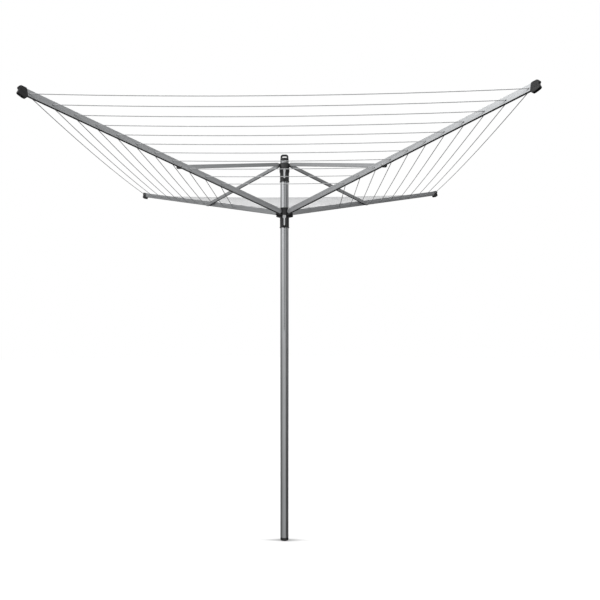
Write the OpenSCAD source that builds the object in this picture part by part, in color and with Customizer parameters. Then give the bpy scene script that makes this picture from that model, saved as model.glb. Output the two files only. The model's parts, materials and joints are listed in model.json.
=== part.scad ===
// Rotary clothesline: a perforated mast that turns on its foot plug, an upper hub with four struts,
// a lower hub with four arms, and rounds of line threaded through the arms.
// Origin at the centre of the foot's underside, +Z up the mast, millimetres.
// Arms stand at 45, 135, 225 and 315 degrees from +X; the latch levers face -Y.

/* [Mast] */
// Outside diameter of the mast tube
mast_d = 45; // [36:0.5:56]
// Wall of the mast tube
mast_wall = 2; // [1.5:0.25:3]
// Height of the mast's top above the foot
mast_top = 2064; // [1700:1:2500]
// Diameter of the latch holes up the mast's front
latch_hole_d = 6.5; // [5:0.5:8]
// Distance from one latch hole to the next
latch_pitch = 15; // [12:0.5:20]
// Number of latch holes
latch_holes = 57; // [20:1:70]
// Width of the guide groove
groove_w = 3; // [2:0.5:5]
// Depth of the guide groove
groove_depth = 0.9; // [0.5:0.1:1.2]
// Direction of the guide groove, from +X
groove_angle = -62.5; // [-75:0.5:-50]

/* [Foot plug] */
// Height of the plug's rim under the mast
plug_rim_h = 17; // [10:1:30]
// Length of the plug's spigot inside the mast
plug_spigot_h = 55; // [30:1:90]
// Wall of the hollow spigot
plug_wall = 3; // [2:0.5:5]
// How far the rim stands back from the mast's surface
plug_inset = 0.5; // [0.3:0.1:1.5]

/* [Mast cap] */
// Height of the cap above the mast's top
cap_h = 23; // [15:1:40]
// Length of the cap's spigot inside the mast
cap_spigot_h = 30; // [20:1:50]
// Height of the hanging loop above the cap
loop_h = 21; // [18:1:40]
// Width of the hanging loop
loop_w = 44; // [36:1:56]
// Thickness of the loop's bar, seen from the front
loop_bar = 10; // [7:0.5:12]
// Thickness of the loop from front to back
loop_depth = 14; // [8:1:20]

/* [Arms] */
// Distance from the mast's axis to an arm's tip
arm_reach = 1475; // [1200:1:1800]
// Rise of an open arm above level, in degrees
arm_slope = 12.5; // [10:0.5:16]
// Width of the arm tube
arm_w = 15; // [12:0.5:20]
// Height of the arm tube
arm_h = 29; // [26:0.5:36]
// Wall of the arm tube
arm_wall = 1.3; // [1:0.1:2]
// Outer corner radius of the arm tube
arm_corner = 1.6; // [0.8:0.1:2.5]
// Distance of the hub pin above, and of the strut pin below, an arm's centre line
pin_offset = 9; // [6:0.5:9.5]
// Length of the tip cap along its underside
tip_len = 45; // [35:1:55]
// How much shorter the tip cap is along its top
tip_rake = 11; // [5:1:15]
// Wall of the tip cap
tip_wall = 2.4; // [1.5:0.1:4]
// How far the tip cap stands above the arm
tip_rise = 2; // [1.5:0.5:6]
// How far the tip cap's lip hangs below the arm
tip_lip = 12; // [6:0.5:16]
// Solid end of the tip cap, past the arm's end
tip_end = 7; // [5:0.5:10]

/* [Struts] */
// Width of the strut channel
strut_w = 10; // [8:0.5:14]
// Height of the strut channel
strut_h = 18; // [16:0.5:24]
// Wall of the strut channel
strut_wall = 1.2; // [1:0.1:2]
// Thickness of the washer between arm and strut
washer_t = 1; // [0.5:0.1:2]
// Radius of the pins through arms and struts
pin_r = 3; // [2:0.25:3.5]
// Radius of a pin's heads
pin_head_r = 5; // [4:0.25:6]
// Thickness of a pin's heads
pin_head_t = 2; // [1:0.25:3]

/* [Hubs] */
// Wall of the hub sleeves
hub_wall = 2.2; // [1.8:0.1:4]
// Distance of the hub pins outside the sleeve
pin_standoff = 15; // [14:0.5:20]
// Height of the upper hub above its strut pins
upper_hub_rise = 11; // [10:0.5:14]
// Depth of the upper hub's block below its strut pins
upper_block_drop = 38; // [20:1:40]
// Depth of the upper hub's sleeve below its strut pins
upper_sleeve_drop = 95; // [90:1:110]
// Height of the lower hub above its arm pins
lower_hub_rise = 12.5; // [10:0.5:16]
// Depth of the lower hub's sleeve below its arm pins
lower_sleeve_drop = 98; // [96:1:120]
// Depth of the shoes under the arms, below the arm pins
shoe_drop = 35; // [33:1:50]
// Length of a shoe beyond the arm pins
shoe_reach = 17; // [14:1:40]
// Width of a shoe
shoe_w = 20; // [16:1:24]
// Height of the raised collars on the hubs
collar_h = 5; // [3:0.5:8]
// How far the collars stand out
collar_rise = 1.5; // [0.8:0.1:2.5]

/* [Latch levers] */
// Thickness of a lever
lever_t = 3.5; // [3:0.25:5]
// Free space behind a lever's pad
lever_space = 4; // [3.8:0.1:6]
// Distance from a lever's pin down to its tooth
tooth_drop = 18; // [15:0.5:20]
// Width of the lower lever's pad
lower_pad_w = 17; // [14:0.5:18]
// Width of the lower lever's stem
lower_stem_w = 8; // [7:0.5:10]
// Width of the upper lever's pad
upper_pad_w = 11.5; // [10:0.5:14]
// Width of the upper lever's stem
upper_stem_w = 9; // [7:0.5:10]
// Radius of a lever's pin
lever_pin_r = 1.5; // [1:0.25:2]
// Thickness of a latch spring's leaf
leaf_t = 0.5; // [0.3:0.1:0.8]

/* [Line] */
// Diameter of the line
line_d = 3.5; // [2.5:0.1:4.5]
// Rounds of line
line_rounds = 11; // [9:1:14]
// Distance from one round to the next, along the radius
line_pitch = 98.5; // [70:0.5:120]
// Distance of the outermost round inside the arm tips
line_margin = 45; // [43:1:80]
// Depth of the line holes below an arm's centre line
line_drop = 3; // [0:0.5:6]
// Diameter of the line holes
line_hole_d = 6; // [5:0.5:7]
// Sag of the outermost round at mid-span
line_sag = 18; // [5:1:40]

/* [Hidden] */
// Clearances: sliding parts, faces that swing past each other, running pins, seated pieces
slide_gap = 0.3;
swing_gap = 0.3;
run_fit = 0.05;
seat_fit = 0.02;
eps = 1;
$fn = 64;

mast_r = mast_d / 2;
mast_bore_r = mast_r - mast_wall;
hub_bore_r = mast_r + slide_gap;
hub_r = hub_bore_r + hub_wall;
hub_block_r = hub_r + 2.5;
pivot_r = hub_r + pin_standoff;

// The strut joint lies midway between two line holes. From each hub pin to the strut joint is one
// link length, so the lower hub slides straight along the mast as the arms fold.
STRUT_JOINT_ROUND = 7.5;
joint_n = -2 * pin_offset;
joint_s = arm_s(line_r(STRUT_JOINT_ROUND), joint_n);
link_len = norm([joint_s, joint_n]);
link_angle = arm_slope + atan2(joint_n, joint_s);
strut_off = arm_w / 2 + washer_t + swing_gap + strut_w / 2;
STRUT_SIDE = [-1, 1, -1, 1];

upper_pin_z = mast_top - 16;
lower_pin_z = upper_pin_z - 2 * link_len * sin(link_angle);

// Both teeth sit at a latch hole
upper_tooth_z = upper_pin_z - 68;
lower_tooth_steps = round((upper_tooth_z - (lower_pin_z - 75)) / latch_pitch);
lower_tooth_z = upper_tooth_z - latch_pitch * lower_tooth_steps;

// Levers: [pad width, stem width, rise of the top above the pin, depth of the bottom below it]
UPPER_LEVER = [upper_pad_w, upper_stem_w, 25, 29];
LOWER_LEVER = [lower_pad_w, lower_stem_w, 22, 35];
pad_h = 16;
lever_in = hub_r + lever_space;
lever_floor = hub_r + 0.2;
lever_pin_y = lever_in + 0.5;
lever_pocket_gap = 0.5;
barrel_r = 3;
boss_edge = 2.4;
tooth_r = latch_hole_d / 2 - 0.5;

arm_in_w = arm_w - 2 * arm_wall;
arm_root_c = 2.5;
arm_slot_end = 8.5;
arm_tip_s = arm_s(arm_reach, -pin_offset);
arm_tube_end = arm_tip_s - tip_end;
arm_lug_w = arm_in_w - 2 * swing_gap;
strut_in_w = strut_w - 2 * strut_wall;
strut_lug_w = strut_in_w - 2 * swing_gap;
strut_lug_r = strut_h / 2 - strut_wall - 0.6;
arm_lug_r = 7;
arm_rest_gap = 0.8;

alu = "#c6c9cc";
bright = "#d9dbdd";
black = "#1d1e20";
steel = "#9fa3a7";
cord = "#d8dadb";

// Radius of round i from the mast's axis; round 0 is the outermost
function line_r(i) = arm_reach - line_margin - i * line_pitch;

// Distance along an arm from its hub pin, for a point at radius r and height n above the pin's line
function arm_s(r, n) = (r - pivot_r + n * sin(arm_slope)) / cos(arm_slope);

// Height above the foot of a point on an arm
function arm_z(s, n) = lower_pin_z + s * sin(arm_slope) + n * cos(arm_slope);

module at_arm(k) rotate([0, 0, 45 + 90 * k]) children();

// Along an open arm from its hub pin: x along the arm, z across it, y sideways
module arm_frame(k) at_arm(k) translate([pivot_r, 0, lower_pin_z]) rotate([0, -arm_slope, 0]) children();

// Along an open strut from its hub pin
module strut_frame(k) at_arm(k) translate([pivot_r, STRUT_SIDE[k] * strut_off, upper_pin_z])
    rotate([0, link_angle, 0]) children();

// Stand a drawing in the x-z plane, with thickness t about y = 0
module upright(t) rotate([90, 0, 0]) linear_extrude(t, center = true) children();

// Extrude a drawing along +x
module along(len) rotate([90, 0, 90]) linear_extrude(len) children();

// A round bar along y, centred
module cross_pin(r, len) rotate([90, 0, 0]) cylinder(r = r, h = len, center = true);

module rounded_rect(w, h, r) {
    square([w - 2 * r, h], center = true);
    square([w, h - 2 * r], center = true);
    for (x = [-1, 1], y = [-1, 1]) translate([x * (w / 2 - r), y * (h / 2 - r)]) circle(r);
}

// A pin with a head at each end of the grip from y0 to y1
module headed_pin(y0, y1) {
    translate([0, (y0 + y1) / 2, 0]) cross_pin(pin_r, y1 - y0 + 2 * pin_head_t);
    for (y = [y0 - pin_head_t / 2, y1 + pin_head_t / 2]) translate([0, y, 0]) cross_pin(pin_head_r, pin_head_t);
}

// ---- mast ----

module foot_plug() {
    rim_r = mast_r - plug_inset;
    spigot_r = mast_bore_r - run_fit;
    spigot_top = plug_rim_h + plug_spigot_h;
    round_r = 6;
    underside = [for (a = [-90:15:0]) [rim_r - round_r + round_r * cos(a), round_r + round_r * sin(a)]];
    color(black) rotate_extrude() polygon(concat(
        [[0, 0]], underside,
        [[rim_r, plug_rim_h], [spigot_r, plug_rim_h], [spigot_r, spigot_top - 2], [spigot_r - 1.2, spigot_top],
         [spigot_r - plug_wall, spigot_top], [spigot_r - plug_wall, plug_rim_h / 2], [0, plug_rim_h / 2]]
    ));
}

module mast_tube() {
    foot = plug_rim_h + slide_gap;
    color(alu) difference() {
        translate([0, 0, foot]) linear_extrude(mast_top - foot) difference() {
            circle(mast_r, $fn = 96);
            circle(mast_bore_r, $fn = 96);
            rotate(groove_angle) translate([mast_r - groove_depth, -groove_w / 2]) square([eps + groove_depth, groove_w]);
        }
        for (i = [0:latch_holes - 1])
            translate([0, -mast_r + mast_wall / 2, upper_tooth_z - i * latch_pitch]) cross_pin(latch_hole_d / 2, 2 * mast_wall + 4);
    }
}

module mast_cap() {
    rim_r = mast_r + 0.4;
    spigot_r = mast_bore_r - run_fit;
    round_r = 5;
    shoulder = [for (a = [0:15:90]) [rim_r - round_r + round_r * cos(a), cap_h - round_r + round_r * sin(a)]];
    bend = 4;
    corner = bend + loop_bar;
    inner = loop_w - 2 * loop_bar;
    color(black) translate([0, 0, mast_top]) {
        rotate_extrude($fn = 96) polygon(concat(
            [[0, cap_h / 2], [spigot_r - 3, cap_h / 2], [spigot_r - 3, -cap_spigot_h], [spigot_r - 0.8, -cap_spigot_h],
             [spigot_r, -cap_spigot_h + 2], [spigot_r, 0], [rim_r, 0]],
            shoulder, [[0, cap_h]]
        ));
        translate([0, 0, cap_h]) upright(loop_depth) difference() {
            union() {
                translate([-loop_w / 2, -round_r]) square([loop_w, loop_h + round_r - corner]);
                translate([-loop_w / 2 + corner, -round_r]) square([loop_w - 2 * corner, loop_h + round_r]);
                for (x = [-1, 1]) translate([x * (loop_w / 2 - corner), loop_h - corner]) circle(corner);
            }
            translate([-inner / 2, 0]) square([inner, loop_h - loop_bar - bend]);
            translate([-inner / 2 + bend, 0]) square([inner - 2 * bend, loop_h - loop_bar]);
            for (x = [-1, 1]) translate([x * (inner / 2 - bend), loop_h - loop_bar - bend]) circle(bend);
        }
    }
}

// ---- latch levers, drawn about the lever's pin height ----

module lever_outline(l, grow) {
    bottom_c = -l[3] + l[1] / 2;
    translate([0, l[2] - pad_h / 2]) rounded_rect(l[0] + 2 * grow, pad_h + 2 * grow, 3 + grow);
    translate([-l[1] / 2 - grow, bottom_c]) square([l[1] + 2 * grow, l[2] - pad_h / 2 - bottom_c]);
    translate([0, bottom_c]) circle(l[1] / 2 + grow);
}

// The black surround that a lever sits in
module lever_boss(l) {
    out = lever_in + lever_t - 0.4;
    top = l[2] + 4;
    bottom = -l[3] - 4;
    translate([0, -mast_r / 2, (top + bottom) / 2]) rotate([90, 0, 0])
        linear_extrude(out - mast_r / 2) rounded_rect(l[0] + 2 * (lever_pocket_gap + boss_edge), top - bottom, 4);
}

// What a lever, its pin and its tooth need cut away
module lever_pocket(l) {
    translate([0, -lever_floor, 0]) rotate([90, 0, 0]) linear_extrude(lever_space + lever_t + eps)
        lever_outline(l, lever_pocket_gap);
    translate([-tooth_r - 0.8, -lever_floor - eps, -tooth_drop - 6]) cube([2 * (tooth_r + 0.8), hub_wall + 5, 12]);
    translate([-l[0], -lever_pin_y, 0]) rotate([0, 90, 0]) cylinder(r = lever_pin_r + seat_fit, h = 2 * l[0]);
}

module latch_lever(l) {
    tip = mast_r + slide_gap;
    color(bright) difference() {
        union() {
            translate([0, -lever_in, 0]) rotate([90, 0, 0]) linear_extrude(lever_t) lever_outline(l, 0);
            translate([-l[1] / 2, -lever_pin_y, 0]) rotate([0, 90, 0]) cylinder(r = barrel_r, h = l[1]);
            translate([0, -tip - 1, -tooth_drop]) rotate([90, 0, 0]) cylinder(r = tooth_r, h = lever_in - tip);
            translate([0, -tip, -tooth_drop]) rotate([90, 0, 0]) cylinder(r1 = tooth_r - 0.8, r2 = tooth_r, h = 1);
        }
        translate([-l[1], -lever_pin_y, 0]) rotate([0, 90, 0]) cylinder(r = lever_pin_r + run_fit, h = 2 * l[1]);
    }
}

module lever_pin(l) {
    len = l[0] + 2 * (lever_pocket_gap + boss_edge);
    color(steel) translate([-len / 2, -lever_pin_y, 0]) rotate([0, 90, 0]) cylinder(r = lever_pin_r, h = len);
}

// An arched leaf between the sleeve and the lever's pad
module lever_spring(l) {
    rise = lever_space - 0.2 - 0.3;
    chord = pad_h - 2;
    leaf_r = (chord * chord / 4 + rise * rise) / (2 * rise);
    color(steel) intersection() {
        translate([0, -lever_floor - rise + leaf_r, l[2] - pad_h / 2]) rotate([0, 90, 0]) difference() {
            cylinder(r = leaf_r, h = 6, center = true);
            cylinder(r = leaf_r - leaf_t, h = 8, center = true);
        }
        translate([-5, -lever_floor - rise - eps, l[2] - pad_h]) cube([10, rise + eps, pad_h]);
    }
}

// ---- hubs ----

module collar(z) translate([0, 0, z]) cylinder(r = hub_r + collar_rise, h = collar_h);

module upper_hub() {
    top = upper_pin_z + upper_hub_rise;
    bottom = upper_pin_z - upper_sleeve_drop;
    color(black) difference() {
        union() {
            translate([0, 0, bottom]) cylinder(r = hub_r, h = top - bottom);
            translate([0, 0, upper_pin_z - upper_block_drop]) cylinder(r = hub_block_r, h = upper_block_drop + 7);
            translate([0, 0, upper_pin_z + 7]) cylinder(r1 = hub_block_r, r2 = hub_r, h = upper_hub_rise - 7);
            collar(bottom);
            for (k = [0:3]) at_arm(k) translate([0, STRUT_SIDE[k] * strut_off, upper_pin_z]) upright(strut_lug_w) {
                translate([mast_r / 2, -strut_lug_r]) square([pivot_r - mast_r / 2, 2 * strut_lug_r]);
                translate([pivot_r, 0]) circle(strut_lug_r);
            }
            translate([0, 0, upper_tooth_z + tooth_drop]) lever_boss(UPPER_LEVER);
        }
        translate([0, 0, bottom - eps]) cylinder(r = hub_bore_r, h = top - bottom + 2 * eps);
        for (k = [0:3]) at_arm(k) translate([pivot_r, STRUT_SIDE[k] * strut_off, upper_pin_z])
            cross_pin(pin_r + seat_fit, 2 * strut_w);
        translate([0, 0, upper_tooth_z + tooth_drop]) lever_pocket(UPPER_LEVER);
    }
}

module lower_hub() {
    top = lower_pin_z + lower_hub_rise;
    bottom = lower_pin_z - lower_sleeve_drop;
    rest_n = -pin_offset - arm_h / 2 - arm_rest_gap;
    function rest_z(x) = x * tan(arm_slope) + rest_n / cos(arm_slope);
    color(black) difference() {
        union() {
            translate([0, 0, bottom]) cylinder(r = hub_r, h = top - bottom);
            collar(top - collar_h);
            collar(bottom);
            for (k = [0:3]) at_arm(k) translate([pivot_r, 0, lower_pin_z]) {
                upright(arm_lug_w) {
                    circle(arm_lug_r);
                    polygon([[0, arm_lug_r], [-pivot_r / 2, arm_lug_r], [-pivot_r / 2, -18], [-8, -18], [0, -arm_lug_r]]);
                }
                upright(shoe_w) polygon([
                    [-pivot_r / 2, rest_z(-pivot_r / 2)], [shoe_reach, rest_z(shoe_reach)],
                    [shoe_reach, rest_z(shoe_reach) - 10], [shoe_reach - 10, -shoe_drop], [-pivot_r / 2, -shoe_drop]
                ]);
            }
            translate([0, 0, lower_tooth_z + tooth_drop]) lever_boss(LOWER_LEVER);
        }
        translate([0, 0, bottom - eps]) cylinder(r = hub_bore_r, h = top - bottom + 2 * eps);
        for (k = [0:3]) at_arm(k) translate([pivot_r, 0, lower_pin_z]) cross_pin(pin_r + seat_fit, 2 * arm_w);
        translate([0, 0, lower_tooth_z + tooth_drop]) lever_pocket(LOWER_LEVER);
    }
}

module strut_hub_pins() {
    grip = strut_w / 2 + swing_gap;
    color(steel) for (k = [0:3]) at_arm(k)
        translate([pivot_r, STRUT_SIDE[k] * strut_off, upper_pin_z]) headed_pin(-grip, grip);
}

module arm_hub_pins() {
    grip = arm_w / 2 + swing_gap;
    color(steel) for (k = [0:3]) at_arm(k) translate([pivot_r, 0, lower_pin_z]) headed_pin(-grip, grip);
}

// ---- struts and arms ----

module strut(k) {
    color(alu) strut_frame(k) difference() {
        upright(strut_w) {
            translate([0, -strut_h / 2]) square([link_len, strut_h]);
            for (x = [0, link_len]) translate([x, 0]) circle(strut_h / 2);
        }
        translate([-strut_h, -strut_in_w / 2, -strut_h])
            cube([link_len + 2 * strut_h, strut_in_w, 1.5 * strut_h - strut_wall]);
        for (x = [0, link_len]) translate([x, 0, 0]) cross_pin(pin_r + run_fit, 2 * strut_w);
    }
}

module arm_tube(k) {
    root = arm_root_c - arm_h / 2;
    color(alu) arm_frame(k) difference() {
        intersection() {
            translate([root - eps, 0, -pin_offset]) along(arm_tube_end - root + eps) difference() {
                rounded_rect(arm_w, arm_h, arm_corner);
                square([arm_in_w, arm_h - 2 * arm_wall], center = true);
            }
            upright(2 * arm_w) translate([arm_root_c, -pin_offset]) {
                circle(arm_h / 2);
                translate([0, -arm_h / 2]) square([arm_tube_end - arm_root_c + eps, arm_h]);
            }
        }
        translate([root - 2 * eps, -arm_in_w / 2, -1.5 * arm_h]) cube([arm_slot_end - root + 2 * eps, arm_in_w, 2 * arm_h]);
        cross_pin(pin_r + run_fit, 2 * arm_w);
        translate([joint_s, 0, joint_n]) cross_pin(pin_r + seat_fit, 2 * arm_w);
        for (i = [0:line_rounds - 1]) {
            n = -pin_offset - line_drop;
            translate([arm_s(line_r(i), n), 0, n]) cross_pin(line_hole_d / 2, 2 * arm_w);
        }
    }
}

module tip_cap(k) {
    w = arm_w + 2 * tip_wall;
    top = arm_h / 2 + tip_rise;
    under = -arm_h / 2 - tip_wall;
    low = -arm_h / 2 - tip_lip;
    notch = tip_end - tip_wall;
    color(black) arm_frame(k) translate([arm_tip_s - tip_len, 0, -pin_offset]) difference() {
        upright(w) polygon([
            [0, under], [7, low], [17, low], [tip_len - 7, (low + under) / 2], [tip_len - 2, under],
            [tip_len - notch, -4], [tip_len - notch, 0], [tip_len, 5], [tip_len, 9], [tip_len - 7, top],
            [tip_rake + 4, top], [tip_rake, top - 4]
        ]);
        translate([-eps, 0, 0]) along(arm_tube_end - arm_tip_s + tip_len + eps + run_fit)
            rounded_rect(arm_w + 2 * run_fit, arm_h + 2 * run_fit, arm_corner);
    }
}

module strut_pin(k) {
    side = STRUT_SIDE[k];
    far = -arm_w / 2;
    near = strut_off + strut_w / 2 + swing_gap;
    color(steel) arm_frame(k) translate([joint_s, 0, joint_n]) mirror([0, side < 0 ? 1 : 0, 0]) headed_pin(far, near);
}

module strut_washer(k) {
    y = STRUT_SIDE[k] * (arm_w + washer_t) / 2;
    color(steel) arm_frame(k) translate([joint_s, y, joint_n]) difference() {
        cross_pin(pin_head_r + 1, washer_t);
        cross_pin(pin_r + run_fit, washer_t + 2 * eps);
    }
}

// ---- line ----

// Ring of points about p, square to the direction t
function ring(p, t, sides) =
    let (side = cross(t, [0, 0, 1]) / norm(cross(t, [0, 0, 1])), up = cross(side, t))
    [for (j = [0:sides - 1]) let (a = 360 * j / sides) p + line_d / 2 * (cos(a) * side + sin(a) * up)];

function unit(v) = v / norm(v);

// Direction of a path at point i, mitred between its two stretches
function path_dir(path, i) =
    let (last = len(path) - 1)
    i == 0 ? unit(path[1] - path[0]) :
    i == last ? unit(path[last] - path[last - 1]) :
    unit(unit(path[i] - path[i - 1]) + unit(path[i + 1] - path[i]));

module cord_tube(path) {
    sides = 8;
    rings = [for (i = [0:len(path) - 1]) ring(path[i], path_dir(path, i), sides)];
    last = len(path) - 1;
    points = [for (r = rings) for (p = r) p];
    quads = [for (i = [0:last - 1]) for (j = [0:sides - 1])
        let (k = (j + 1) % sides) [i * sides + j, i * sides + k, (i + 1) * sides + k, (i + 1) * sides + j]];
    start = [for (j = [sides - 1:-1:0]) j];
    end = [for (j = [0:sides - 1]) last * sides + j];
    polyhedron(points, concat([start], quads, [end]));
}

// The line from one side's mid-span, through the arm at round i, to the other side's mid-span
module line_round(i) {
    n = -pin_offset - line_drop;
    r = line_r(i);
    z = arm_z(arm_s(r, n), n);
    lead = arm_w / 2 + 0.5;
    sag = line_sag * pow((r - lead) / (line_r(0) - lead), 2);
    mid = (r - lead) / 2 - 0.15;
    function out_point(u, side) = [r - u * mid, side * (lead + u * mid), z - sag * (1 - pow(1 - u, 2))];
    cord_tube(concat(
        [for (u = [1, 0.67, 0.33, 0]) out_point(u, -1)],
        [for (u = [0, 0.33, 0.67, 1]) out_point(u, 1)]
    ));
}

module lines(k) color(cord) at_arm(k) for (i = [0:line_rounds - 1]) line_round(i);

foot_plug();
mast_tube();
mast_cap();
upper_hub();
strut_hub_pins();
translate([0, 0, upper_tooth_z + tooth_drop]) latch_lever(UPPER_LEVER);  // upper_lever
translate([0, 0, upper_tooth_z + tooth_drop]) lever_pin(UPPER_LEVER);  // upper_lever_pin
translate([0, 0, upper_tooth_z + tooth_drop]) lever_spring(UPPER_LEVER);  // upper_lever_spring
lower_hub();
arm_hub_pins();
translate([0, 0, lower_tooth_z + tooth_drop]) latch_lever(LOWER_LEVER);  // lower_lever
translate([0, 0, lower_tooth_z + tooth_drop]) lever_pin(LOWER_LEVER);  // lower_lever_pin
translate([0, 0, lower_tooth_z + tooth_drop]) lever_spring(LOWER_LEVER);  // lower_lever_spring
strut(0);  // strut_1
strut(1);  // strut_2
strut(2);  // strut_3
strut(3);  // strut_4
arm_tube(0);  // arm_tube_1
arm_tube(1);  // arm_tube_2
arm_tube(2);  // arm_tube_3
arm_tube(3);  // arm_tube_4
tip_cap(0);  // tip_cap_1
tip_cap(1);  // tip_cap_2
tip_cap(2);  // tip_cap_3
tip_cap(3);  // tip_cap_4
strut_pin(0);  // strut_pin_1
strut_pin(1);  // strut_pin_2
strut_pin(2);  // strut_pin_3
strut_pin(3);  // strut_pin_4
strut_washer(0);  // strut_washer_1
strut_washer(1);  // strut_washer_2
strut_washer(2);  // strut_washer_3
strut_washer(3);  // strut_washer_4
lines(0);  // lines_1
lines(1);  // lines_2
lines(2);  // lines_3
lines(3);  // lines_4
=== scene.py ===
"""Rotary clothesline: mouldings, latch levers, rivets, line and finishes, built round the CAD frame."""
import json
import math

import bmesh
import bpy
from mathutils import Matrix, Vector


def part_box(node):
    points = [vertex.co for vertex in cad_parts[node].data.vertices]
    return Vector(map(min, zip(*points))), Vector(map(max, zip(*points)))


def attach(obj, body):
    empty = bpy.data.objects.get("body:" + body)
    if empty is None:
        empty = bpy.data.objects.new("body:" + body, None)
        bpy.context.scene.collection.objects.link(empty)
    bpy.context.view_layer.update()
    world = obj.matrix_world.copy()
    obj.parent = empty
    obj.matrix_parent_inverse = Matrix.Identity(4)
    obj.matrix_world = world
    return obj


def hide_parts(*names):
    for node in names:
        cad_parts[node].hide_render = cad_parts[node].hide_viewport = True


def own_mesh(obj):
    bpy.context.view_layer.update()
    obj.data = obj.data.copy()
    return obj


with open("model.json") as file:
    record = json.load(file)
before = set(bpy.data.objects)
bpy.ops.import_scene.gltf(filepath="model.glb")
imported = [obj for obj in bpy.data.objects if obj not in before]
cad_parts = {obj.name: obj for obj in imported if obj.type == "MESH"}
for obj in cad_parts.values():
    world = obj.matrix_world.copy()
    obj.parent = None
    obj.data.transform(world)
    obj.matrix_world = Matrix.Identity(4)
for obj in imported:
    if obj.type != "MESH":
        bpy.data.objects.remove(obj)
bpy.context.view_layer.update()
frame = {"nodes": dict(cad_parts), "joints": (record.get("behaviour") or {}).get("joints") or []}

bl_info = {
    "name": "Rotary clothesline",
    "version": (1, 0, 0),
    "blender": (4, 5, 0),
    "location": "View3D > Sidebar > Clothesline",
    "description": "Builds the mouldings, levers, rivets, line and finishes of a rotary clothesline",
    "category": "Add Mesh",
}

ARMS = range(4)
MM = 0.001


# ---- places that come from the frame ----

def shift(x, y, z):
    """A move with no turn."""
    return Matrix.Translation((x, y, z))


# STAND lifts a flat plate upright in the x-z plane, and lays a rod along y. LIE_X lays a rod along x.
STAND = Matrix.Rotation(math.pi / 2, 4, "X")
LIE_X = Matrix.Rotation(math.pi / 2, 4, "Y")


def joint_place(name):
    """Where a joint's axis passes, at rest."""
    return Vector(next(j["pos_m"] for j in frame["joints"] if j["name"] == name))


def arm_turn(k):
    """Turns a shape drawn along +X to lie under arm k."""
    return Matrix.Rotation(math.radians(45 + 90 * k), 4, "Z")


def local_corners(node, place):
    """A CAD node's points, measured in the frame that place sets."""
    back = place.inverted()
    return [back @ v.co for v in frame["nodes"][node].data.vertices]


def local_box(node, place, keep=lambda corner: True):
    """Lowest and highest corner of a CAD node in the frame that place sets."""
    corners = [c for c in local_corners(node, place) if keep(c)]
    low = Vector([min(c[i] for c in corners) for i in range(3)])
    high = Vector([max(c[i] for c in corners) for i in range(3)])
    return low, high


def top_edge_slope(node, turn):
    """Rise of a straight tube's top edge above level, in radians."""
    corners = local_corners(node, turn)
    tip = max(corners, key=lambda c: c.z)
    return min(math.atan2(tip.z - c.z, tip.x - c.x) for c in corners if c.x < tip.x - 0.1)


LOWER_PIN = arm_turn(0).inverted() @ joint_place("lower_hub_turn")
UPPER_PIN = arm_turn(0).inverted() @ joint_place("fold")
STRUT_JOINT = arm_turn(0).inverted() @ joint_place("arm_1_turn")
ARM_SLOPE = top_edge_slope("arm_tube_1", arm_turn(0))
STRUT_SLOPE = -math.atan2(UPPER_PIN.z - STRUT_JOINT.z, STRUT_JOINT.x - UPPER_PIN.x)
STRUT_SIDES = (-1, 1, -1, 1)
MAST_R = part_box("mast_tube")[1].x
MAST_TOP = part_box("mast_tube")[1].z
UPPER_LEVER_PIN = joint_place("upper_lever_press")
LOWER_LEVER_PIN = joint_place("lower_lever_press")
MAST_WALL = 2 * MM
GROOVE_ANGLE = math.radians(-62.5)
GROOVE_DARK = 1.6 * MM
GROOVE_FADED = 2.4 * MM
GROOVE_DEPTHS = (15 * MM, 16 * MM)
PAD_H = 16 * MM
TOOTH_DROP = 18 * MM
TOOTH_R = 2.75 * MM
TOOTH_CLEARANCE = 0.3 * MM
LEVER_T = 3.5 * MM
LEVER_PIN_R = 1.5 * MM
PIN_R = 3 * MM
PIN_FIT = 0.02 * MM
REST_GAP = 0.8 * MM
PUSH_FIT = 0.05 * MM
LUG_ROUNDING = 0.98
SMOOTH_BELOW = math.radians(32)


def arm_frame(k):
    """Along an open arm from its hub pin: x along the arm, z across it, y sideways."""
    return arm_turn(k) @ shift(LOWER_PIN.x, 0, LOWER_PIN.z) @ Matrix.Rotation(-ARM_SLOPE, 4, "Y")


def upper_pin_frame(k):
    """At a strut's hub pin, with x pointing away from the mast."""
    return arm_turn(k) @ shift(UPPER_PIN.x, STRUT_SIDES[k] * abs(UPPER_PIN.y), UPPER_PIN.z)


ARM_LOW, ARM_HIGH = local_box("arm_tube_1", arm_frame(0))
ARM_MID = (ARM_LOW.z + ARM_HIGH.z) / 2
ARM_H = ARM_HIGH.z - ARM_LOW.z
ARM_W = ARM_HIGH.y - ARM_LOW.y


# ---- properties ----

def length(name, description, default):
    """A length property, in metres."""
    return bpy.props.FloatProperty(
        name=name, description=description, default=default, min=0, unit="LENGTH",
        subtype="DISTANCE", precision=4)


def colour(name, description, default):
    """A colour property without alpha."""
    return bpy.props.FloatVectorProperty(
        name=name, description=description, default=default, min=0, max=1, size=3, subtype="COLOR")


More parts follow.
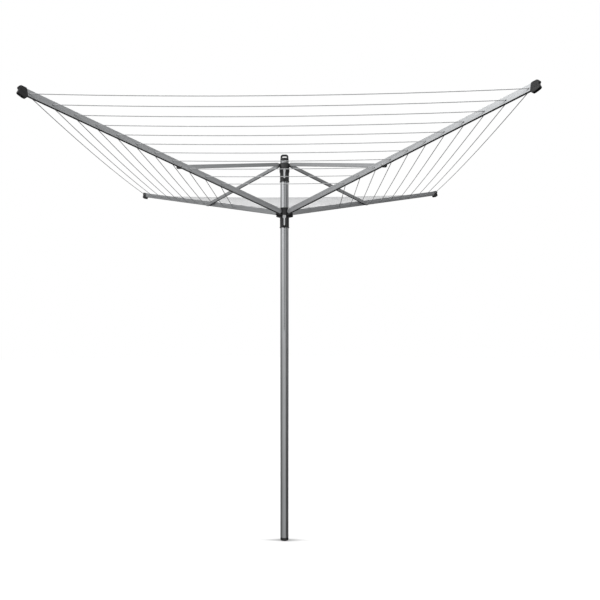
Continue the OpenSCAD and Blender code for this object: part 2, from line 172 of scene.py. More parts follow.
class MouldingSizes(bpy.types.PropertyGroup):
    """Sizes of the black mouldings and the latches."""
    sleeve_gap: length("Sleeve gap", "Gap between the mast and a hub's sleeve", 0.3 * MM)
    sleeve_wall: length("Sleeve wall", "Wall of the hub sleeves", 2.2 * MM)
    block_rise: length("Block rise", "How far the upper hub's block stands out from its sleeve", 2.5 * MM)
    collar_height: length("Collar height", "Height of the raised collars", 5 * MM)
    collar_rise: length("Collar rise", "How far the collars stand out", 1.5 * MM)
    edge: length("Edge radius", "Radius on a moulding's edges", 0.7 * MM)
    lip: length("Pocket lip", "Wall round a latch lever's pocket", 2.4 * MM)
    lever_gap: length("Lever gap", "Gap between a lever and its pocket", 0.5 * MM)
    loop_bend: length("Loop bend", "Bend radius of the hanging loop's bar", 9 * MM)
    spring_keep: bpy.props.FloatProperty(
        name="Pressed spring", description="Share of its rise that a latch spring keeps when pressed",
        default=0.15, min=0.05, max=1, subtype="FACTOR")


class LineSizes(bpy.types.PropertyGroup):
    """Sizes of the clothes line."""
    diameter: length("Diameter", "Diameter of the coated line", 3.5 * MM)
    sag: length("Sag", "Sag of the outermost round at mid-span", 18 * MM)
    lead: length("Lead", "How far the line runs straight from the arm's middle before it turns", 8 * MM)
    folded: length("Folded loop", "How far an outer half-round stands from its hole when folded", 45 * MM)
    tucked: length("Tucked loop", "How far an inner half-round stands from its hole when folded", 2 * MM)
    strut_clearance: length(
        "Strut clearance", "Distance beyond the strut joint from which rounds count as outer", 150 * MM)


class FinishColours(bpy.types.PropertyGroup):
    """Colours of the finishes."""
    aluminium: colour("Aluminium", "Anodised aluminium extrusion", (0.50, 0.51, 0.52))
    plastic: colour("Moulding", "Black moulded plastic", (0.012, 0.012, 0.013))
    lever: colour("Lever", "Satin silver latch lever", (0.62, 0.63, 0.64))
    zinc: colour("Rivet", "Zinc-plated steel", (0.55, 0.55, 0.54))
    line: colour("Line", "Coating of the line", (0.60, 0.61, 0.62))


# ---- finishes ----

class Sum:
    """A socket in an expression: arithmetic on it adds Math nodes."""

    def __init__(self, finish, socket):
        self.finish = finish
        self.socket = socket

    def _math(self, operation, *values):
        return self.finish.node("ShaderNodeMath", {"operation": operation}, dict(enumerate(values)))

    def __add__(self, other):
        return self._math("ADD", self, other)

    def __radd__(self, other):
        return self._math("ADD", other, self)

    def __sub__(self, other):
        return self._math("SUBTRACT", self, other)

    def __rsub__(self, other):
        return self._math("SUBTRACT", other, self)

    def __mul__(self, other):
        return self._math("MULTIPLY", self, other)

    def __abs__(self):
        return self._math("ABSOLUTE", self)

    def sine(self):
        return self._math("SINE", self)


class Finish:
    """A material, or the sky, under construction."""

    def __init__(self, owner, shader="Principled BSDF"):
        owner.use_nodes = True
        self.material = owner
        self.tree = owner.node_tree
        self.shader = self.tree.nodes[shader]

    def node(self, kind, settings=None, sockets=None, output=0):
        """Adds a node with its settings and its sockets' values or links, and gives one output back."""
        node = self.tree.nodes.new(kind)
        for name, value in (settings or {}).items():
            if name == "stops":
                self._stops(node.color_ramp, value)
            else:
                setattr(node, name, value)
        for name, value in (sockets or {}).items():
            self._feed(node.inputs[name], value)
        return Sum(self, node.outputs[output])

    def _stops(self, ramp, stops):
        while len(ramp.elements) < len(stops):
            ramp.elements.new(1)
        for element, (position, value) in zip(ramp.elements, stops):
            element.position = position
            element.color = (*value, 1) if isinstance(value, tuple) else (value, value, value, 1)

    def _feed(self, socket, value):
        if isinstance(value, Sum):
            self.tree.links.new(value.socket, socket)
        else:
            socket.default_value = value

    def set(self, **sockets):
        """Sets or links the shader's sockets; an underscore stands for a space."""
        for name, value in sockets.items():
            self._feed(self.shader.inputs[name.replace("_", " ")], value)
        return self

    def point(self, output="Object"):
        """The point on the object or in its UV map, or the way a ray of sky goes."""
        return self.node("ShaderNodeTexCoord", output=output)

    def split(self, vector):
        """A vector's three numbers."""
        node = self.node("ShaderNodeSeparateXYZ", sockets={0: vector}).socket.node
        return tuple(Sum(self, node.outputs[i]) for i in range(3))

    def vector(self, x, y, z):
        return self.node("ShaderNodeCombineXYZ", sockets={0: x, 1: y, 2: z})

    def noise(self, vector, scale, detail, roughness=0.5):
        return self.node("ShaderNodeTexNoise", sockets={
            "Vector": vector, "Scale": scale, "Detail": detail, "Roughness": roughness})

    def ramp(self, value, *stops):
        return self.node("ShaderNodeValToRGB", {"stops": stops}, {0: value})

    def mix(self, factor, a, b):
        """A blend of two colours."""
        a, b = (end if isinstance(end, Sum) else (*end, 1) for end in (a, b))
        return self.node("ShaderNodeMix", {"data_type": "RGBA"}, {0: factor, 6: a, 7: b}, output=2)

    def bump(self, height, distance, strength):
        return self.node("ShaderNodeBump", sockets={
            "Strength": strength, "Distance": distance, "Height": height})


def shade(rgb, factor):
    """A colour made darker or lighter."""
    return tuple(min(1, c * factor) for c in rgb)


def extrusion(name, rgb, slope):
    """Anodised aluminium, drawn along its length. A slope turns the streaks along all four arms alike.

    Without a slope it is the mast's, with painted shade along its guide groove: a near-black band 3.2 mm
    wide that fades out 0.8 mm past that on each side, so it is a little wider than the groove.
    """
    f = Finish(bpy.data.materials.new(name))
    x, y, z = f.split(f.point())
    if slope is None:
        along, across, rise = z, x, y
    else:
        out = (abs(x) + abs(y)) * math.sqrt(0.5)
        along = out * math.cos(slope) + z * math.sin(slope)
        across = (abs(x) - abs(y)) * math.sqrt(0.5)
        rise = z * math.cos(slope) - out * math.sin(slope)
    fine = f.noise(f.vector(along * 3, across * 900, rise * 900), 1.0, 3)
    broad = f.noise(f.vector(along * 1.2, across * 110, rise * 110), 1.0, 2)
    cloud = f.noise(f.vector(along * 9, across * 22, rise * 22), 1.0, 4, 0.6)
    rubs = f.noise(f.vector(along * 60, across * 240, rise * 240), 1.0, 4, 0.7)
    marks = f.ramp(rubs, (0.60, 0.0), (0.72, 1.0))
    streak = fine * 0.45 + broad * 0.35 + cloud * 0.2
    tone = f.mix(f.ramp(streak, (0.30, 0.0), (0.70, 1.0)), shade(rgb, 0.80), shade(rgb, 1.12))
    tone = f.mix(marks * 0.30, tone, shade(rgb, 0.62))
    if slope is None:
        # Painted shade: the guide groove and a little past its edges are darkened to near black.
        off_groove = abs(y * math.cos(GROOVE_ANGLE) - x * math.sin(GROOVE_ANGLE))
        facing = x * math.cos(GROOVE_ANGLE) + y * math.sin(GROOVE_ANGLE)
        on_groove = f.ramp(off_groove, (GROOVE_DARK, 1.0), (GROOVE_FADED, 0.0))
        groove = on_groove * f.ramp(facing, (GROOVE_DEPTHS[0], 0.0), (GROOVE_DEPTHS[1], 1.0))
        tone = f.mix(groove, tone, (0.012, 0.012, 0.013))
    f.set(Base_Color=tone, Metallic=0.92, Roughness=0.30 + fine * 0.12 + cloud * 0.10 + marks * 0.12)
    f.set(Normal=f.bump(fine * 0.6 + broad * 0.4, 0.00006, 0.6), Anisotropic=0.35)
    return f.material


def moulded(name, rgb):
    """Black moulded plastic with a spark-eroded grain, slight weathering and a few pale scuffs."""
    f = Finish(bpy.data.materials.new(name))
    point = f.point()
    grain = f.noise(point, 1500, 3, 0.6)
    cloud = f.noise(point, 42, 4, 0.6)
    dust = f.ramp(f.noise(point, 260, 5, 0.72), (0.56, 0.0), (0.74, 1.0))
    scuff = f.ramp(f.node("ShaderNodeTexVoronoi", {"feature": "DISTANCE_TO_EDGE"}, {
        "Vector": point, "Scale": 130.0, "Randomness": 1.0}), (0.0, 1.0), (0.012, 0.0))
    worn = scuff * f.ramp(cloud, (0.52, 0.0), (0.62, 1.0))
    tone = f.mix(cloud, rgb, shade(rgb, 2.1))
    tone = f.mix(dust * 0.35, tone, (0.055, 0.054, 0.052))
    tone = f.mix(worn * 0.25, tone, (0.10, 0.10, 0.10))
    f.set(Base_Color=tone, Roughness=0.36 + cloud * 0.14 + dust * 0.12 + worn * 0.1)
    f.set(Normal=f.bump(grain * 0.7 - worn * 0.8, 0.00005, 0.55))
    return f.material


def satin(name, rgb, metallic, base_roughness, flake):
    """A satin silver coat, or bright plated steel, with fine flake and handling marks."""
    f = Finish(bpy.data.materials.new(name))
    point = f.point()
    fine = f.noise(point, flake, 2)
    cloud = f.noise(point, 90, 4, 0.65)
    rub = f.ramp(f.noise(point, 420, 5, 0.75), (0.58, 0.0), (0.70, 1.0))
    tone = f.mix(fine * 0.5 + cloud * 0.5, shade(rgb, 0.82), shade(rgb, 1.12))
    tone = f.mix(rub * 0.35, tone, shade(rgb, 0.6))
    f.set(Base_Color=tone, Metallic=metallic, Roughness=base_roughness + cloud * 0.14 + rub * 0.15)
    f.set(Normal=f.bump(fine, 0.00003, 0.5))
    return f.material


def coated_line(name, rgb, radius):
    """Coated line: a smooth sheath that shows the lay of the strands inside it."""
    f = Finish(bpy.data.materials.new(name))
    around, along = f.split(f.point("UV"))[:2]
    strands, lay_length = 3, radius * 7
    lay = (around * (strands * math.tau) + along * (math.tau / lay_length)).sine()
    point = f.point()
    cloud = f.noise(point, 14, 4, 0.6)
    grime = f.ramp(f.noise(point, 190, 4, 0.7), (0.50, 0.0), (0.72, 1.0))
    tone = f.mix(cloud, shade(rgb, 0.86), shade(rgb, 1.16))
    tone = f.mix(grime * 0.4 + lay * 0.06, tone, shade(rgb, 0.62))
    f.set(Base_Color=tone, Roughness=0.42 + grime * 0.2, Normal=f.bump(lay, 0.00018, 0.7))
    return f.material


def floor_finish():
    """A pale studio floor with a flat ellipse of shade round the object's foot, painted and not cast."""
    f = Finish(bpy.data.materials.new("studio_floor"))
    x, y, z = f.split(f.point())
    flatness = 5
    ellipse = f.vector(x, y * flatness, z)
    distance = f.node("ShaderNodeVectorMath", {"operation": "LENGTH"}, {0: ellipse}, output=1)
    near = f.ramp(distance, (0.02, 0.75), (0.10, 0.40), (0.28, 0.0))
    cloud = f.noise(f.vector(x, y, z), 0.8, 3)
    pale = f.mix(cloud, (0.90, 0.90, 0.90), (0.93, 0.93, 0.93))
    f.set(Base_Color=f.mix(near, pale, (0.1, 0.1, 0.1)), Roughness=0.8)
    f.set(Emission_Color=f.mix(near, (1, 1, 1), (0.05, 0.05, 0.05)), Emission_Strength=0.5)
    return f.material


FINISHES = {}


def make_finishes(colours, lines):
    """Makes every finish once, named after its slot in the record."""
    FINISHES.update(
        mast_aluminium=extrusion("mast_aluminium", colours.aluminium, None),
        arm_aluminium=extrusion("arm_aluminium", colours.aluminium, ARM_SLOPE),
        strut_aluminium=extrusion("strut_aluminium", shade(colours.aluminium, 0.92), STRUT_SLOPE),
        black_plastic=moulded("black_plastic", colours.plastic),
        bright_lever=satin("bright_lever", colours.lever, 0.85, 0.26, 1900),
        zinc_steel=satin("zinc_steel", colours.zinc, 1.0, 0.24, 800),
        spring_steel=satin("spring_steel", shade(colours.zinc, 0.7), 1.0, 0.20, 600),
        line_coating=coated_line("line_coating", colours.line, lines.diameter / 2),
    )


def dress(node, finish):
    """Gives a CAD node its finish."""
    slots = frame["nodes"][node].data.materials
    slots.clear()
    slots.append(FINISHES[finish])


# ---- shapes ----

def soften(shape, radius, segments=3, sharper_than=38):
    """Rounds a closed shape's sharp edges."""
    limit = math.radians(sharper_than)
    edges = [e for e in shape.edges if len(e.link_faces) == 2 and e.calc_face_angle() > limit]
    bmesh.ops.bevel(
        shape, geom=edges, offset=radius, offset_type="OFFSET", segments=segments, profile=0.5,
        affect="EDGES", clamp_overlap=True, material=-1)
    return shape


def arc(radius, middle_x, middle_y, turns):
    """Points on a circle at turns in degrees, from the x direction on."""
    return [
        (middle_x + radius * math.cos(math.radians(a)), middle_y + radius * math.sin(math.radians(a)))
        for a in turns
    ]


def rectangle(low_x, low_y, high_x, high_y, rounding=0.0):
    """A plate's four corners, all rounded alike."""
    corners = ((low_x, low_y), (high_x, low_y), (high_x, high_y), (low_x, high_y))
    return [(x, y, rounding) for x, y in corners]


def plate(corners, thickness, edge=0.0):
    """A plate in the x-y plane, centred on z = 0. Each corner is (x, y, rounding)."""
    shape = bmesh.new()
    verts = [shape.verts.new((x, y, -thickness / 2)) for x, y, r in corners]
    shape.faces.new(verts)
    for vert, (x, y, r) in zip(verts, corners):
        if r > 0:
            bmesh.ops.bevel(
                shape, geom=[vert], offset=r, offset_type="OFFSET", segments=6, profile=0.5,
                affect="VERTICES", clamp_overlap=False, material=-1)
    raised = bmesh.ops.extrude_face_region(shape, geom=list(shape.faces))
    top = [v for v in raised["geom"] if isinstance(v, bmesh.types.BMVert)]
    bmesh.ops.translate(shape, verts=top, vec=(0, 0, thickness))
    bmesh.ops.recalc_face_normals(shape, faces=shape.faces)
    if edge:
        soften(shape, edge)
    return shape


def lathe(profile, steps=96):
    """Spins a profile of (radius, height) points about z. A profile that leaves the axis open is a ring."""
    shape = bmesh.new()
    verts = [shape.verts.new((r, 0, z)) for r, z in profile]
    edges = [shape.edges.new(pair) for pair in zip(verts, verts[1:])]
    if profile[0][0] > 0 and profile[-1][0] > 0:
        edges.append(shape.edges.new((verts[-1], verts[0])))
    bmesh.ops.spin(
        shape, geom=verts + edges, cent=(0, 0, 0), axis=(0, 0, 1), angle=math.tau, steps=steps,
        use_merge=True)
    bmesh.ops.remove_doubles(shape, verts=shape.verts, dist=1e-6)
    bmesh.ops.recalc_face_normals(shape, faces=shape.faces)
    return shape


def rod(radius, height, steps):
    """A plain round cutter or barrel along z, centred."""
    return lathe([(0, -height / 2), (radius, -height / 2), (radius, height / 2), (0, height / 2)], steps)


def placed(shape, *places):
    """Moves a shape to its place."""
    for place in places:
        bmesh.ops.transform(shape, matrix=place, verts=shape.verts)
    return shape


def sweep(section, places, distances=()):
    """Carries a closed outline through a row of places and closes its ends. Distances make a UV map."""
    shape = bmesh.new()
    ring = [shape.verts.new(places[0] @ Vector((x, y, 0))) for x, y in section]
    edges = [shape.edges.new(pair) for pair in zip(ring, ring[1:] + ring[:1])]
    shape.faces.new(ring)
    charts = {}

    def chart(index):
        back = places[index].inverted()
        for vert in ring:
            point = back @ vert.co
            charts[vert] = (math.atan2(point.y, point.x) / math.tau % 1, distances[index])

    if distances:
        chart(0)
    for index, (here, there) in enumerate(zip(places, places[1:]), 1):
        raised = bmesh.ops.extrude_edge_only(shape, edges=edges)["geom"]
        ring = [v for v in raised if isinstance(v, bmesh.types.BMVert)]
        raised_edges = (e for e in raised if isinstance(e, bmesh.types.BMEdge))
        edges = [e for e in raised_edges if all(v in ring for v in e.verts)]
        bmesh.ops.transform(shape, matrix=there @ here.inverted(), verts=ring)
        if distances:
            chart(index)
    bmesh.ops.contextual_create(shape, geom=edges)
    bmesh.ops.recalc_face_normals(shape, faces=shape.faces)
    if distances:
        unwrap(shape, charts)
    return shape


def unwrap(shape, charts):
    """Writes each corner's way round and way along into a UV map, without a jump at the seam."""
    layer = shape.loops.layers.uv.new("UVMap")
    for face in shape.faces:
        seam = max(charts[v][0] for v in face.verts) - min(charts[v][0] for v in face.verts) > 0.5
        for corner in face.loops:
            around, along = charts[corner.vert]
            corner[layer].uv = (around + 1 if seam and around < 0.5 else around, along)


def as_mesh(shape, name="shape"):
    """Turns a bmesh into a mesh and frees it."""
    mesh = bpy.data.meshes.new(name)
    shape.to_mesh(mesh)
    shape.free()
    return mesh


def joined(shapes):
    """Lays separate shapes into one bmesh."""
    whole = bmesh.new()
    for shape in shapes:
        mesh = as_mesh(shape)
        whole.from_mesh(mesh)
        bpy.data.meshes.remove(mesh)
    return whole


def combined(shape, others, operation):
    """Unites closed shapes, or cuts others from the first, and gives one closed bmesh."""
    objects = []
    for part in [shape, *others]:
        thing = bpy.data.objects.new("working_shape", as_mesh(part))
        bpy.context.scene.collection.objects.link(thing)
        objects.append(thing)
    for tool in objects[1:]:
        step = objects[0].modifiers.new("combine", "BOOLEAN")
        step.operation = operation
        step.solver = "EXACT"
        step.object = tool
    graph = bpy.context.evaluated_depsgraph_get()
    mesh = bpy.data.meshes.new_from_object(objects[0].evaluated_get(graph))
    result = bmesh.new()
    result.from_mesh(mesh)
    bpy.data.meshes.remove(mesh)
    for thing in objects:
        bpy.data.meshes.remove(thing.data)
    weld = 2e-6
    bmesh.ops.remove_doubles(result, verts=result.verts, dist=weld)
    bmesh.ops.dissolve_degenerate(result, edges=result.edges, dist=weld)
    return result


def piece(name, shape, body, finish, *nodes):
    """Makes a finished piece that rides on a body and stands for its CAD nodes."""
    mesh = as_mesh(shape, name)
    mesh.shade_smooth()
    mesh.set_sharp_from_angle(angle=SMOOTH_BELOW)
    mesh.materials.clear()
    mesh.materials.append(FINISHES[finish])
    thing = bpy.data.objects.new(name, mesh)
    bpy.context.scene.collection.objects.link(thing)
    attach(thing, body)
    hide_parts(*nodes)
    return thing


# ---- mouldings ----

def spigot_radius():
    """Radius of what is pressed into the mast's bore."""
    return MAST_R - MAST_WALL - PUSH_FIT


def foot_plug_shape():
    """The rounded plug under the mast, with its hollow spigot."""
    low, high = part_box("foot_plug")
    rim_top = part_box("mast_tube")[0].z - 0.3 * MM
    rim_r = high.x
    round_r = 6 * MM
    floor_z = 8.5 * MM
    inner_r = spigot_radius() - 3 * MM
    underside = arc(round_r, rim_r - round_r, low.z + round_r, range(-90, 1, 15))
    return soften(lathe([
        (0, low.z + 1.2 * MM), (9 * MM, low.z + 1.2 * MM), (10 * MM, low.z), *underside,
        (rim_r, rim_top - 5 * MM), (rim_r - 0.6 * MM, rim_top - 4.4 * MM),
        (rim_r - 0.6 * MM, rim_top - 3.4 * MM), (rim_r, rim_top - 2.8 * MM),
        (rim_r, rim_top), (spigot_radius(), rim_top),
        (spigot_radius(), high.z - 2 * MM), (spigot_radius() - 1.2 * MM, high.z), (inner_r, high.z),
        (inner_r, floor_z), (0, floor_z),
    ]), 0.3 * MM, 2, 40)


def loop_shape(sizes, foot, top):
    """The hanging loop: a flattened bar bent into an upside-down U."""
    bar, depth, outer, corner = 10 * MM, 14 * MM, 44 * MM, 3.6 * MM
    leg_x = (outer - bar) / 2
    bend = sizes.loop_bend
    centre_z = top - bar / 2 - bend
    flat_x, flat_y = bar / 2 - corner, depth / 2 - corner
    section = [
        point
        for quarter, (sx, sy) in enumerate(((1, 1), (-1, 1), (-1, -1), (1, -1)))
        for point in arc(corner, sx * flat_x, sy * flat_y, range(90 * quarter, 90 * quarter + 91, 15))
    ]
    places = [shift(-leg_x, 0, foot), shift(-leg_x, 0, centre_z)]
    for side in (-1, 1):
        centre = shift(side * (leg_x - bend), 0, centre_z)
        start = places[-1]
        if side > 0:
            start = shift(2 * (leg_x - bend), 0, 0) @ start
            places.append(start)
        bends = (Matrix.Rotation(math.radians(9 * i), 4, "Y") for i in range(1, 11))
        places += [centre @ bent @ centre.inverted() @ start for bent in bends]
    places.append(shift(0, 0, foot - centre_z) @ places[-1])
    return sweep(section, places)


def mast_cap_shape(sizes):
    """The cap in the mast's top, with its hanging loop."""
    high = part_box("mast_cap")[1].z
    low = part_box("mast_cap")[0].z
    cap_top = MAST_TOP + 23 * MM
    rim_r = MAST_R + 0.4 * MM
    round_r = 5 * MM
    inner_r = spigot_radius() - 3 * MM
    shoulder = arc(round_r, rim_r - round_r, cap_top - round_r, range(0, 91, 10))
    cap = soften(lathe([
        (0, MAST_TOP + 11.5 * MM), (inner_r, MAST_TOP + 11.5 * MM), (inner_r, low),
        (spigot_radius() - 0.8 * MM, low), (spigot_radius(), low + 2 * MM), (spigot_radius(), MAST_TOP),
        (rim_r, MAST_TOP), (rim_r, MAST_TOP + 4 * MM), (rim_r - 0.5 * MM, MAST_TOP + 4.4 * MM),
        (rim_r - 0.5 * MM, MAST_TOP + 5.2 * MM), (rim_r, MAST_TOP + 5.6 * MM), *shoulder, (0, cap_top),
    ]), 0.3 * MM, 2, 40)
    return combined(cap, [loop_shape(sizes, cap_top - 4 * MM, high)], "UNION")


def lever_corners(box, stem, grow):
    """A latch lever's outline about its pin: a pad on a narrower stem with a round end."""
    low, high = box
    pad, foot, top = high.x + grow, low.z - grow, high.z + grow
    neck = high.z - PAD_H - grow
    half = stem / 2 + grow
    end = half * 0.97
    step = min(0.45 * (pad - half), 2 * MM)
    return [
        (-half, foot, end), (half, foot, end), (half, neck, step), (pad, neck, step), (pad, top, 3 * MM),
        (-pad, top, 3 * MM), (-pad, neck, step), (-half, neck, step),
    ]


def facing_front(out, pin, thickness):
    """Stands a plate up behind the front plane y = -out, at a pin's height."""
    return shift(0, -out + thickness / 2, pin.z) @ STAND


class Latch:
    """Where one hub's lever, pocket and tooth are."""

    def __init__(self, which, pin, stem):
        self.pin = pin
        self.stem = stem
        self.box = local_box(which, shift(0, 0, pin.z))
        self.front = -self.box[0].y

    def boss(self, sizes):
        """The surround that stands out of the sleeve."""
        low, high = self.box
        half = high.x + sizes.lever_gap + sizes.lip
        border = 4 * MM
        thickness = self.front - MAST_R / 2
        outline = rectangle(-half, low.z - border, half, high.z + border, border)
        out = self.front - 0.4 * MM
        return placed(plate(outline, thickness, 1 * MM), facing_front(out, self.pin, thickness))

    def pocket(self, sizes):
        """The hollow that the lever lies in."""
        thickness = 12 * MM
        floor_y = MAST_R + sizes.sleeve_gap + sizes.sleeve_wall + 0.2 * MM
        outline = lever_corners(self.box, self.stem, sizes.lever_gap)
        return placed(plate(outline, thickness), facing_front(floor_y + thickness, self.pin, thickness))

    def window(self):
        """The way through the sleeve for the lever's tooth."""
        half, half_h, depth = 3.55 * MM, 6 * MM, 14 * MM
        outline = rectangle(-half, -TOOTH_DROP - half_h, half, -TOOTH_DROP + half_h)
        return placed(plate(outline, depth), facing_front(MAST_R + 9 * MM, self.pin, depth))

    def pin_hole(self):
        """The bore for the lever's pin, through the surround."""
        return placed(rod(LEVER_PIN_R + PIN_FIT, 60 * MM, 24), LIE_X, shift(0, self.pin.y, self.pin.z))

    def cutters(self, sizes):
        """All that is cut from the hub for this latch."""
        return [self.pocket(sizes), self.window(), self.pin_hole()]


def sleeve_radii(sizes):
    """Radii of a hub's bore, sleeve and collar."""
    bore = MAST_R + sizes.sleeve_gap
    sleeve = bore + sizes.sleeve_wall
    return bore, sleeve, sleeve + sizes.collar_rise


def hub_shape(sizes, latch, profile, outer, pin_places, hole_l):
    """A hub: its sleeve's profile, what stands out of it, the latch's surround, its bore and its holes."""
    body = soften(lathe(profile), sizes.edge)
    whole = combined(body, [*outer, latch.boss(sizes)], "UNION")
    holes = [placed(rod(PIN_R + PIN_FIT, hole_l, 32), STAND, place) for place in pin_places]
    heights = [height for radius, height in profile]
    middle = (min(heights) + max(heights)) / 2
    clear = placed(rod(sleeve_radii(sizes)[0], 200 * MM, 96), shift(0, 0, middle))
    return combined(whole, [clear, *holes, *latch.cutters(sizes)], "DIFFERENCE")


def upper_hub_shape(sizes, latch):
    """The upper hub: sleeve, block and collar, four strut lugs and the latch's surround."""
    low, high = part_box("upper_hub")
    bore, sleeve, collar = sleeve_radii(sizes)
    block = sleeve + sizes.block_rise
    block_low = UPPER_PIN.z - 38 * MM
    profile = [
        (bore, low.z), (collar, low.z), (collar, low.z + sizes.collar_height),
        (sleeve, low.z + sizes.collar_height),
        (sleeve, block_low), (block, block_low), (block, UPPER_PIN.z + 7 * MM),
        (sleeve, high.z), (bore, high.z),
    ]
    lug_r, lug_w = 7.2 * MM, 7 * MM
    lug_round = lug_r * LUG_ROUNDING
    root = -(UPPER_PIN.x - MAST_R / 2)
    lug = [(root, -lug_r, 0), (lug_r, -lug_r, lug_round), (lug_r, lug_r, lug_round), (root, lug_r, 0)]
    lugs = [placed(plate(lug, lug_w, sizes.edge), STAND, upper_pin_frame(k)) for k in ARMS]
    rib = [
        (bore + 0.5 * MM, block_low - 16 * MM, 0), (block - 0.4 * MM, block_low + 1 * MM, 0),
        (bore + 0.5 * MM, block_low + 1 * MM, 0),
    ]
    rib_turns = (Matrix.Rotation(math.radians(a), 4, "Z") for a in (0, 45, 90, 135, 180, 225, 315))
    ribs = [placed(plate(rib, 2.4 * MM, 0.4 * MM), STAND, turn) for turn in rib_turns]
    pin_places = [upper_pin_frame(k) for k in ARMS]
    return hub_shape(sizes, latch, profile, [*lugs, *ribs], pin_places, 30 * MM)


def shoe_shape(rest):
    """The shoe that an open arm rests on, with its top rest below the arm's pin, square to the arm."""
    reach, drop, width = 17 * MM, 35 * MM, 20 * MM
    back = -LOWER_PIN.x / 2

    def rest_z(x):
        return x * math.tan(ARM_SLOPE) + rest / math.cos(ARM_SLOPE)

    shape = plate([
        (back, rest_z(back), 0), (back, -drop, 0), (reach - 10 * MM, -drop, 2 * MM),
        (reach, rest_z(reach) - 10 * MM, 3 * MM), (reach, rest_z(reach), 0),
    ], width)
    return soften(shape, 1 * MM)


def lower_hub_shape(sizes, latch):
    """The lower hub: sleeve and collars, four arm lugs with shoes, and the latch's surround."""
    low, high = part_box("lower_hub")
    bore, sleeve, collar = sleeve_radii(sizes)
    profile = [
        (bore, low.z), (collar, low.z), (collar, low.z + sizes.collar_height),
        (sleeve, low.z + sizes.collar_height),
        (sleeve, high.z - sizes.collar_height), (collar, high.z - sizes.collar_height), (collar, high.z),
        (bore, high.z),
    ]
    lug_r, lug_w, web = 7 * MM, 11.8 * MM, 18 * MM
    lug_round = lug_r * LUG_ROUNDING
    root = -LOWER_PIN.x / 2
    lug = [
        (root, lug_r, 0), (root, -web, 0), (-8 * MM, -web, 1 * MM), (0, -lug_r, 0),
        (lug_r, -lug_r, lug_round), (lug_r, lug_r, lug_round),
    ]
    at_pins = [arm_turn(k) @ shift(LOWER_PIN.x, 0, LOWER_PIN.z) for k in ARMS]
    lugs = [placed(plate(lug, lug_w, sizes.edge), STAND, at_pin) for at_pin in at_pins]
    shoes = [placed(shoe_shape(ARM_LOW.z - REST_GAP), STAND, at_pin) for at_pin in at_pins]
    pin_places = [arm_frame(k) for k in ARMS]
    return hub_shape(sizes, latch, profile, [*lugs, *shoes], pin_places, 40 * MM)


def tip_cap_shape(k):
    """An arm's end cap: a sleeve with a raked mouth, a hanging lip and a notched end."""
    low, high = local_box(f"tip_cap_{k + 1}", arm_frame(k))
    tube_end = local_box(f"arm_tube_{k + 1}", arm_frame(k))[1].x
    under = ARM_LOW.z - 2.4 * MM
    notch = tube_end + 2.4 * MM
    shape = plate([
        (low.x, under, 0.8 * MM), (low.x + 7 * MM, low.z, 3 * MM), (low.x + 17 * MM, low.z, 4 * MM),
        (high.x - 7 * MM, (low.z + under) / 2, 3 * MM), (high.x - 1.5 * MM, under, 3 * MM),
        (notch, ARM_MID - 5 * MM, 2 * MM), (notch, ARM_MID - 0.5 * MM, 2 * MM),
        (high.x, ARM_MID + 4.5 * MM, 1.5 * MM), (high.x, ARM_MID + 9.5 * MM, 3 * MM),
        (high.x - 7 * MM, high.z, 3.5 * MM),
        (low.x + 15 * MM, high.z, 3 * MM), (low.x + 11 * MM, high.z - 4 * MM, 1.5 * MM),
    ], high.y - low.y)
    soften(shape, 1.1 * MM, 3, 42)
    placed(shape, STAND)
    panel = [
        (-12 * MM, -12.5 * MM, 2.5 * MM), (9 * MM, -12.5 * MM, 2.5 * MM), (9 * MM, 12 * MM, 2.5 * MM),
        (-8 * MM, 12 * MM, 2.5 * MM),
    ]
    panels = [
        placed(plate(panel, 2 * MM, 0.3 * MM), STAND,
               shift(high.x - 19 * MM, side * (high.y + 0.4 * MM), ARM_MID))
        for side in (-1, 1)
    ]
    rib = rectangle(-1.3 * MM, -8.5 * MM, 1.3 * MM, 8.5 * MM, 0.6 * MM)
    first_rib, rib_pitch = high.x - 14.5 * MM, 4.6 * MM
    ribs = [
        placed(plate(rib, high.y - low.y - 0.3 * MM, 0.3 * MM), STAND,
               shift(first_rib - rib_pitch * i, 0, ARM_MID))
        for i in range(3)
    ]
    mouth = tube_end - low.x + 5 * MM
    half_h, half_w = ARM_H / 2 + PUSH_FIT, ARM_W / 2 + PUSH_FIT
    bore = plate(rectangle(-half_h, -half_w, half_h, half_w, 1.6 * MM), mouth)
    socket = placed(bore, LIE_X, shift(tube_end + PUSH_FIT - mouth / 2, 0, ARM_MID))
    whole = combined(combined(shape, panels, "DIFFERENCE"), ribs, "UNION")
    return placed(combined(whole, [socket], "DIFFERENCE"), arm_frame(k))


# ---- levers, rivets and line ----

